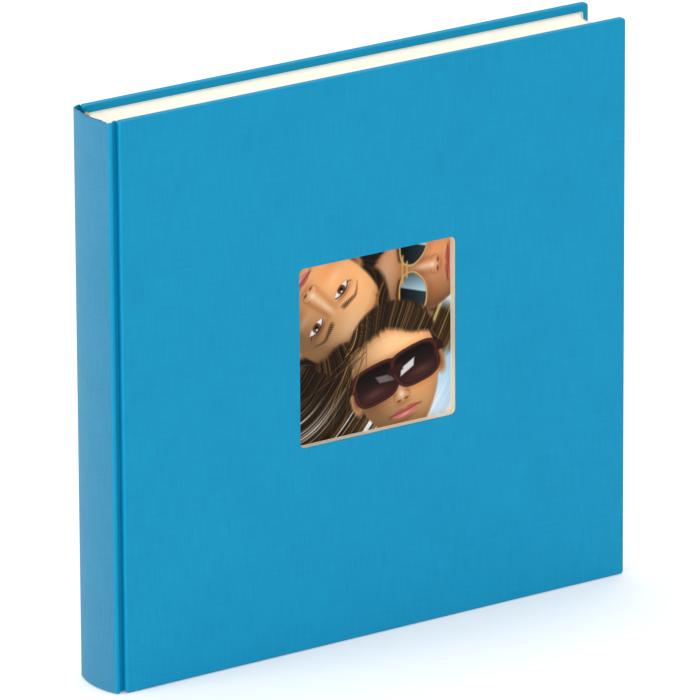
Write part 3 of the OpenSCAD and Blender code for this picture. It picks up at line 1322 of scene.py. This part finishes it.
class Head:
    """One printed head, drawn in its own upright coordinates of half a head's width."""

    def __init__(self, sheet: Print, style: HeadStyle) -> None:
        """Find the head's coordinates and the light in them.

        Args:
            sheet: The print that receives it.
            style: Its place and dress.
        """
        self.sheet, self.style = sheet, style
        turn = math.radians(style.crown)
        du, dv = sheet.u - style.centre[0], sheet.v - style.centre[1]
        self.y = (du * math.cos(turn) + dv * math.sin(turn)) / style.half_width
        self.x = (du * math.sin(turn) - dv * math.cos(turn)) / style.half_width
        self.light = (
            0.35 * math.sin(turn) - 0.55 * math.cos(turn), 0.35 * math.cos(turn) + 0.55 * math.sin(turn)
        )

    def draw(self) -> None:
        """Draw the hair, the face and what it wears."""
        self.hair_cap()
        self.skin()
        self.nose()
        self.mouth()
        for way in (-1.0, 1.0):
            self.brow(way)
            if self.style.eyewear is Eyewear.NONE:
                self.eye(way)
        if self.style.eyewear is not Eyewear.NONE:
            self.glasses()
        self.fringe()

    def hair_cap(self) -> None:
        """Lay the hair behind the face."""
        x, y, style = self.x, self.y, self.style
        wave = 0.06 * np.sin(y * 5 + style.seed)
        cap = edge(oval(x + wave, y - 0.3, 1.1, 1.16), 0.05)
        across = np.arctan2(x, 3.2 - y) * 40
        self.sheet.hair(cap, across + 2 * np.sin(y * 4), style.seed, style.hair_dark, style.hair_light, 3.2)

    def skin(self) -> None:
        """Lay the ears and the shaded face."""
        x, y, lay, tint = self.x, self.y, self.sheet.lay, self.sheet.tint
        for way in (-1.0, 1.0):
            ear = edge(oval(x - way * 0.99, y + 0.18, 0.13, 0.3), 0.03)
            lay(ear, np.asarray(self.style.skin) * 0.86)
            tint(blob(x - way * 1.0, y + 0.16, 0.05, 0.17) * ear, (0.72, 0.55, 0.5))
        narrow = 1 - 0.3 * np.clip(-y / 1.35, 0, 1) ** 1.8
        face = edge(oval(x / narrow, y, 0.97, 1.36, 2.25), 0.025)
        lay(face, self.style.skin)
        nx, ny = np.clip(x / 0.99, -1, 1), np.clip(y / 1.4, -1, 1)
        nz = np.sqrt(np.clip(1.15 - nx**2 - ny**2, 0.02, 1))
        lit = nx * self.light[0] + ny * self.light[1] + 0.78 * nz
        self.sheet.ink *= 1 + (face * np.clip((lit - 0.72) * 0.62, -0.34, 0.2))[:, None]
        for way in (-1.0, 1.0):
            tint(blob(x - way * 0.5, y + 0.48, 0.27, 0.2) * face * 0.75, self.style.blush)
            tint(blob(x - way * 0.42, y - 0.06, 0.27, 0.15) * face * 0.3, (0.74, 0.6, 0.55))
            lay(blob(x - way * 0.52, y + 0.3, 0.2, 0.09) * face * 0.22, (1.0, 0.96, 0.9))
            tint(blob(x - way * 0.82, y + 0.75, 0.2, 0.42) * face * 0.3, (0.7, 0.56, 0.5))
        lay(blob(x, y - 0.62, 0.45, 0.2) * face * 0.2, (1.0, 0.95, 0.88))
        lay(blob(x, y + 1.17, 0.17, 0.08) * face * 0.22, (1.0, 0.93, 0.86))

    def nose(self) -> None:
        """Model the nose by its light and shade."""
        x, y, lay, tint = self.x, self.y, self.sheet.lay, self.sheet.tint
        length = edge(np.abs(y + 0.2) - 0.32, 0.12)
        flare = 0.085 + 0.05 * np.clip(-y / 0.5, 0, 1)
        lay(np.exp(-((x / 0.055) ** 2)) * length * 0.4, (1.0, 0.95, 0.88))
        for way, depth in ((-1.0, 0.3), (1.0, 0.42)):
            side = np.exp(-(((x * way - flare - 0.03) / 0.055) ** 2)) * length
            tint(side * depth, (0.74, 0.56, 0.5))
            wing = np.abs(np.hypot((x * way - 0.115) / 0.075, (y + 0.53) / 0.085) - 1)
            tint(edge(wing - 0.08, 0.14) * (x * way > 0.09) * 0.5, (0.7, 0.48, 0.42))
            lay(edge(oval(x * way - 0.085, y + 0.595, 0.045, 0.022), 0.015) * 0.8, (0.33, 0.16, 0.13))
        lay(blob(x, y + 0.47, 0.07, 0.06) * 0.45, (1.0, 0.95, 0.89))
        tint(blob(x, y + 0.665, 0.17, 0.05) * 0.45, (0.72, 0.52, 0.47))

    def mouth(self) -> None:
        """Lay calm, closed lips."""
        x, y, lay, tint = self.x, self.y, self.sheet.lay, self.sheet.tint
        reach = np.clip(1 - (x / 0.34) ** 2, 0, 1)
        line = y + 0.84 - 0.018 * (x / 0.34) ** 2
        bow = 0.085 * reach**0.8 - 0.028 * blob(x, x * 0, 0.06, 1.0)
        upper = edge(-line, 0.01) * edge(line - bow, 0.012) * (reach > 0)
        lower = edge(line, 0.01) * edge(-line - 0.115 * reach**0.65, 0.014) * (reach > 0)
        lay(upper * 0.88, (0.70, 0.33, 0.32))
        lay(lower * 0.88, (0.82, 0.44, 0.42))
        lay(blob(x + 0.03, y + 0.9, 0.13, 0.022) * 0.5, (0.98, 0.8, 0.76))
        tint(edge(np.abs(line) - 0.008, 0.012) * (reach > 0) * 0.8, (0.42, 0.24, 0.24))
        tint(blob(x, y + 1.0, 0.2, 0.04) * 0.4, (0.72, 0.54, 0.48))
        tint(blob(np.abs(x) - 0.36, y + 0.835, 0.04, 0.035) * 0.45, (0.62, 0.42, 0.38))

    def brow(self, way: float) -> None:
        """Draw one brow out of short hairs.

        Args:
            way: -1 or 1, the side of the face.
        """
        x, y = self.x * way, self.y
        arch = 0.27 + 0.075 * np.clip((x - 0.18) / 0.3, 0, 1)
        arch = arch - 0.13 * np.clip((x - 0.5) / 0.22, 0, 1) ** 1.5
        thick = 0.05 * np.clip((0.76 - x) / 0.5, 0.15, 1)
        along = edge(np.abs(x - 0.45) - 0.28, 0.04)
        hairs = 0.55 + 0.45 * np.sin((x * 1.2 + y * 0.8) * 110)
        mask = edge(np.abs(y - arch) - thick, 0.025) * along * np.clip(hairs + 0.25, 0, 1)
        self.sheet.lay(mask * 0.85, np.asarray(self.style.hair_dark) * 1.1)

    def eye(self, way: float) -> None:
        """Draw one open, level eye.

        Args:
            way: -1 or 1, the side of the face.
        """
        x, y, lay, tint = self.x * way, self.y, self.sheet.lay, self.sheet.tint
        ex = x - 0.42
        reach = np.clip(1 - (ex / 0.21) ** 2, 0, 1)
        lid, low = 0.095 * reach**0.75, 0.06 * reach**0.8
        open_eye = edge(y - lid, 0.012) * edge(-y - low, 0.012) * (reach > 0)
        tint(blob(ex, y - 0.12, 0.22, 0.05) * 0.45, (0.66, 0.48, 0.44))
        lay(open_eye, (0.93, 0.91, 0.89))
        tint(open_eye * blob(ex, y - 0.09, 0.24, 0.05) * 0.6, (0.6, 0.56, 0.56))
        away = np.hypot(ex, y - 0.012)
        lay(open_eye * edge(away - 0.092, 0.012), (0.30, 0.19, 0.11))
        lay(open_eye * edge(away - 0.078, 0.02) * 0.7, (0.46, 0.30, 0.17))
        lay(open_eye * edge(away - 0.042, 0.012), (0.05, 0.04, 0.04))
        lay(open_eye * edge(np.hypot(ex - 0.025 * way, y - 0.045) - 0.018, 0.01), (1.0, 1.0, 1.0))
        lay(edge(np.abs(y - lid) - 0.012, 0.012) * (reach > 0) * 0.9, (0.14, 0.08, 0.07))
        flick = edge(np.abs(y - 0.02 - (ex - 0.17) * 0.7) - 0.012, 0.012)
        flick = flick * edge(np.abs(ex - 0.21) - 0.045, 0.01)
        lay(flick * 0.8, (0.16, 0.09, 0.08))
        tint(edge(np.abs(y + low) - 0.006, 0.014) * (reach > 0) * 0.5, (0.55, 0.36, 0.33))
        tint(edge(np.abs(y - lid - 0.055) - 0.007, 0.016) * (reach > 0.15) * 0.45, (0.55, 0.38, 0.34))

    def glasses(self) -> None:
        """Lay sunglasses over the eyes."""
        x, y, lay, tint = self.x, self.y, self.sheet.lay, self.sheet.tint
        aviator = self.style.eyewear is Eyewear.AVIATOR
        width, height, power, rim = (0.37, 0.3, 2.5, 0.03) if aviator else (0.45, 0.33, 3.2, 0.075)
        rim_colour = (0.80, 0.62, 0.32) if aviator else (0.20, 0.09, 0.08)
        rim_shine = (0.97, 0.86, 0.62) if aviator else (0.42, 0.24, 0.2)
        low = np.array((0.16, 0.22, 0.25) if aviator else (0.25, 0.13, 0.12))
        high = np.array((0.03, 0.04, 0.05) if aviator else (0.05, 0.03, 0.03))
        arm_half = 0.025 if aviator else 0.085
        for way in (-1.0, 1.0):
            arm = edge(np.abs(y - 0.1 + 0.06 * np.clip(x * way - 0.8, 0, 1)) - arm_half, 0.02)
            lay(arm * edge(np.abs(x * way - 0.98) - 0.16, 0.02), rim_colour)
            lx, ly = x * way - 0.46, y + 0.03
            drop = lx - 0.12 * np.clip(-ly / 0.3, 0, 1) * (1.0 if aviator else 0.3)
            shape = oval(drop * (1 - 0.25 * ly), ly, width, height, power)
            tint(edge(shape - 0.1, 0.09) * 0.4, (0.6, 0.45, 0.42))
            lay(edge(shape - rim, 0.012), rim_colour)
            lay(edge(np.abs(shape - rim * 0.55) - rim * 0.16, 0.01) * 0.5, rim_shine)
            lens = edge(shape, 0.012)
            rise = np.clip((ly + height) / (2 * height), 0, 1)[:, None]
            lay(lens, low * (1 - rise) + high * rise)
            up = x - way * 0.46
            if aviator:
                sky = lens * edge(0.03 - up + 0.3 * ly, 0.015) * np.clip(0.95 - up * 1.6, 0.3, 1)
                lay(sky * 0.9, (0.74, 0.88, 0.93))
            else:
                pane = np.maximum(np.abs(lx + 0.2 - 0.4 * ly) - 0.15, np.abs(ly - 0.07 - 0.25 * lx) - 0.07)
                lay(lens * edge(pane, 0.015) * (0.85 if way > 0 else 0.35), (0.95, 0.95, 0.96))
                lay(lens * blob(lx - 0.1, ly + 0.16, 0.25, 0.08) * 0.3, (0.62, 0.42, 0.38))
        bridge = edge(np.abs(y - (0.12 if aviator else 0.06)) - (0.018 if aviator else 0.07), 0.014)
        lay(bridge * edge(np.abs(x) - 0.17, 0.015), rim_colour)
        if aviator:
            lay(edge(np.abs(y - 0.22) - 0.018, 0.014) * edge(np.abs(x) - 0.3, 0.02), rim_colour)

    def fringe(self) -> None:
        """Bring the hairline and loose locks over the forehead and temples."""
        x, y, style = self.x, self.y, self.style
        ragged = 0.12 * strands(x * 10 + y * 2, style.seed + 5, 0.5)
        ragged += 0.05 * strands(x * 10, style.seed + 6, 3.0)
        line = 1.02 - 0.4 * np.abs(x + 0.12) ** 2.2 - ragged - 0.16 * blob(x - 0.55, y - 0.8, 0.3, 0.4)
        inside = edge(oval(x, y - 0.3, 1.1, 1.16), 0.04)
        across = np.hypot(x + 1.5, y - 1.9) * 17 + 1.4 * np.sin(x * 3 + y * 2 + style.seed)
        self.sheet.tint(edge(line - 0.1 - y, 0.09) * inside * 0.35, (0.6, 0.45, 0.4))
        mask = edge(line - y, 0.06) * inside
        self.sheet.hair(mask, across, style.seed + 1, style.hair_dark, style.hair_light, 3.6)


@dataclass
class WindowPicture:
    """The print behind the window: three friends with their heads together."""

    case: Case
    cells: int = 300
    heads: tuple[HeadStyle, ...] = (
        HeadStyle(
            (24.0, 33.5), 179.0, 26.5, (0.76, 0.53, 0.36), (0.98, 0.87, 0.80),
            (0.07, 0.05, 0.035), (0.30, 0.21, 0.12), Eyewear.AVIATOR, 23,
        ),
        HeadStyle(
            (-27.0, 22.0), -41.0, 27.5, (0.82, 0.60, 0.40), (0.98, 0.87, 0.80),
            (0.10, 0.06, 0.035), (0.60, 0.42, 0.20), Eyewear.NONE, 11,
        ),
        HeadStyle(
            (14.0, -20.0), 105.0, 26.5, (0.87, 0.65, 0.44), (0.98, 0.87, 0.80),
            (0.14, 0.09, 0.05), (0.80, 0.62, 0.34), Eyewear.WRAP, 37,
        ),
    )

    def build(self, finishes: Finishes) -> bpy.types.Object:
        """Model the print and lay its inks.

        Args:
            finishes: The materials.

        Returns:
            The piece.
        """
        low, high = (Vector(c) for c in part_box("cover_picture"))
        middle = (low + high) / 2
        bm = bmesh.new()
        bmesh.ops.create_grid(bm, x_segments=self.cells, y_segments=self.cells, size=0.5)
        bmesh.ops.scale(bm, verts=bm.verts, vec=(high.x - low.x, high.z - low.z, 1))
        bmesh.ops.rotate(bm, verts=bm.verts, cent=(0, 0, 0), matrix=Matrix.Rotation(math.pi / 2, 3, "X"))
        bmesh.ops.translate(bm, verts=bm.verts, vec=(middle.x, low.y, middle.z))
        rim = [e for e in bm.edges if e.is_boundary]
        made = bmesh.ops.extrude_edge_only(bm, edges=rim)
        behind = [g for g in made["geom"] if isinstance(g, bmesh.types.BMVert)]
        bmesh.ops.translate(bm, verts=behind, vec=(0, high.y - low.y, 0))
        bmesh.ops.holes_fill(bm, edges=[e for e in bm.edges if e.is_boundary], sides=0)
        bmesh.ops.recalc_face_normals(bm, faces=bm.faces)
        piece = finish_mesh("window_print", bm, finishes.ink, None)
        places = np.empty(len(piece.data.vertices) * 3)
        piece.data.vertices.foreach_get("co", places)
        places = places.reshape(-1, 3)
        ink = self.paint((places[:, 0] - middle.x) / MM, (places[:, 2] - middle.z) / MM)
        layer = piece.data.color_attributes.new("ink", "FLOAT_COLOR", "POINT")
        layer.data.foreach_set("color", np.column_stack([ink, np.ones(len(ink))]).ravel())
        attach(piece, "window_picture")
        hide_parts("cover_picture")
        return piece

    def paint(self, u: np.ndarray, v: np.ndarray) -> np.ndarray:
        """Lay out the whole print.

        Args:
            u: Across, in mm from the middle.
            v: Up, in mm from the middle.

        Returns:
            Scene-linear colours.
        """
        sheet = Print(u, v)
        self.loose_hair(sheet)
        for style in self.heads:
            Head(sheet, style).draw()
        self.stray_locks(sheet)
        ink = np.clip(sheet.ink, 0.0, 1.0)
        return np.where(ink <= 0.04045, ink / 12.92, ((ink + 0.055) / 1.055) ** 2.4)

    def loose_hair(self, sheet: Print) -> None:
        """Lay the long hair that fills the ground between the heads.

        Args:
            sheet: The print.
        """
        u, v = sheet.u, sheet.v
        reach = np.hypot(u + 72, v - 24)
        sway = 1.6 * np.sin(np.arctan2(v - 24, u + 72) * 7)
        sweep = edge(reach - 106, 3.0) * edge(v - 14, 6.0)
        sheet.hair(sweep, reach + sway, 3, (0.09, 0.06, 0.035), (0.58, 0.42, 0.2), 1.6)
        corner = np.clip((-v - 22) / 18, 0, 1)
        sheet.hair(sweep * corner * 0.75, reach + sway, 4, (0.16, 0.1, 0.05), (0.92, 0.74, 0.42), 1.3)
        gaps = np.clip((strands(reach + sway, 8, 0.7) - 0.5) * 5, 0, 1) * corner
        sheet.lay(gaps, (0.95, 0.95, 0.96))
        top = edge(-v - 2, 5.0) * edge(np.abs(u) - 16, 5.0)
        sheet.hair(top, u + 0.25 * v + np.sin(v / 6), 5, (0.07, 0.05, 0.035), (0.34, 0.24, 0.13), 1.6)
        gold = edge(oval(u - 34, v + 2, 20, 15), 3.0)
        sheet.hair(gold, u - 0.5 * v, 7, (0.20, 0.13, 0.07), (0.93, 0.80, 0.50), 1.3)

    def stray_locks(self, sheet: Print) -> None:
        """Draw a few fine locks that cross the faces' edges.

        Args:
            sheet: The print.
        """
        u, v = sheet.u, sheet.v
        rng = np.random.default_rng(61)
        for index in range(26):
            start = rng.uniform([-18, -14], [-4, -2])
            heading = rng.uniform(math.pi * 1.08, math.pi * 1.5)
            length, bow = rng.uniform(22, 44), rng.uniform(-0.22, 0.22)
            du, dv = u - start[0], v - start[1]
            along = du * math.cos(heading) + dv * math.sin(heading)
            side = -du * math.sin(heading) + dv * math.cos(heading) - bow * along * (1 - along / length)
            width = 0.28 * np.clip(1 - along / length, 0.15, 1)
            mask = edge(np.abs(side) - width, 0.25) * (along > 0) * (along < length)
            shade = (0.76, 0.58, 0.34) if index % 3 == 0 else (0.17, 0.10, 0.06)
            sheet.lay(mask * 0.5, shade)


@dataclass
class KeptParts:
    """CAD parts whose shape is right, which only get their finish."""

    def build(self, finishes: Finishes) -> list[bpy.types.Object]:
        """Dress them.

        Args:
            finishes: The materials.

        Returns:
            The CAD objects.
        """
        looks = {
            "front_board": finishes.board, "back_board": finishes.board,
            "front_pastedown": finishes.endpaper, "back_pastedown": finishes.endpaper,
            "picture_pocket": finishes.page, "spine_stiffener": finishes.spine_card,
            "hollow_tube": finishes.kraft, "spine_lining": finishes.kraft,
            "mull": finishes.gauze, "sewing_tapes": finishes.tape, "sewing_thread": finishes.thread,
        }
        kept = []
        for name, material in looks.items():
            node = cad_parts[name]
            for slot in node.material_slots:
                slot.material = material
            kept.append(node)
        return kept


@dataclass
class Studio:
    """Pale sweep, soft lights and the camera."""

    case: Case
    azimuth: float = -34.09
    elevation: float = 18.83
    roll: float = -0.29
    distance: float = 4.998
    lens: float = 508.3

    def build(self) -> None:
        """Set everything up."""
        self.floor()
        self.lights()
        self.camera()

    def floor(self) -> None:
        """Lay a large pale sheet under the album. It glows faintly, a painted light that lifts the shadow on
        it.
        """
        bm = bmesh.new()
        bmesh.ops.create_grid(bm, x_segments=4, y_segments=4, size=6.0)
        bmesh.ops.translate(bm, verts=bm.verts, vec=(0, 0, -0.0002))
        sweep = finish_mesh("pale_floor", bm, PlainFinish("pale_sweep", (0.92, 0.92, 0.92)).make(), None)

    def lights(self) -> None:
        """Add soft lights and a bright, even surround."""
        world = bpy.data.worlds.new("bright_surround")
        world.use_nodes = True
        surround = world.node_tree.nodes["Background"]
        surround.inputs["Color"].default_value = (1.0, 1.0, 1.0, 1.0)
        surround.inputs["Strength"].default_value = 0.85
        bpy.context.scene.world = world
        for name, place, size, power in (
            ("left_softbox", (-2.3, 0.1, 1.0), 1.2, 26.0),
            ("front_fill", (0.9, -2.6, 1.8), 2.0, 3.0),
            ("top_softbox", (0.2, 0.3, 2.8), 1.8, 16.0),
        ):
            light = bpy.data.lights.new(name, "AREA")
            light.size = size
            light.energy = power
            lamp = bpy.data.objects.new(name, light)
            aim = Vector((self.case.window_x, 0, 0.15)) - Vector(place)
            lamp.matrix_world = Matrix.Translation(place) @ aim.to_track_quat("-Z", "Y").to_matrix().to_4x4()
            bpy.context.scene.collection.objects.link(lamp)

    def camera(self) -> None:
        """Place the camera for a three-quarter view of the spine and front cover."""
        turn, rise, roll = (math.radians(a) for a in (self.azimuth, self.elevation, self.roll))
        back = Vector((math.sin(turn) * math.cos(rise), -math.cos(turn) * math.cos(rise), math.sin(rise)))
        right = Vector((math.cos(turn), math.sin(turn), 0))
        up = back.cross(right)
        level = math.cos(roll) * right + math.sin(roll) * up
        head = math.cos(roll) * up - math.sin(roll) * right
        target = Vector((self.case.window_x, 0.9 * MM, self.case.cloth_high.z / 2))
        place = target - 3.3 * MM * level - 3.3 * MM * head + self.distance * back
        data = bpy.data.cameras.new("camera")
        data.lens = self.lens
        data.sensor_width = 36
        data.clip_end = 50
        camera = bpy.data.objects.new("camera", data)
        camera.matrix_world = Matrix((level, head, back)).transposed().to_4x4()
        camera.matrix_world.translation = place
        bpy.context.scene.collection.objects.link(camera)
        bpy.context.scene.camera = camera


def main() -> None:
    """Build the album and its studio, in order."""
    logging.basicConfig(level=logging.INFO, format="%(name)s: %(message)s")
    bpy.context.scene.view_settings.view_transform = "Standard"
    case = Case()
    finishes = Finishes.build()
    pieces: list[bpy.types.Object] = KeptParts().build(finishes)
    pieces += [CoverCloth(case, side).build(finishes) for side in Side]
    pieces += SpineCase(case).build(finishes)
    pieces += PageBlock(case).build(finishes)
    pieces += [StripedBand(case, end).build(finishes) for end in End]
    pieces.append(WindowPicture(case).build(finishes))
    for piece in pieces:
        LOG.info("%s: %d faces", piece.name, len(piece.data.polygons))
    Studio(case).build()


if __name__ == "__main__":
    main()
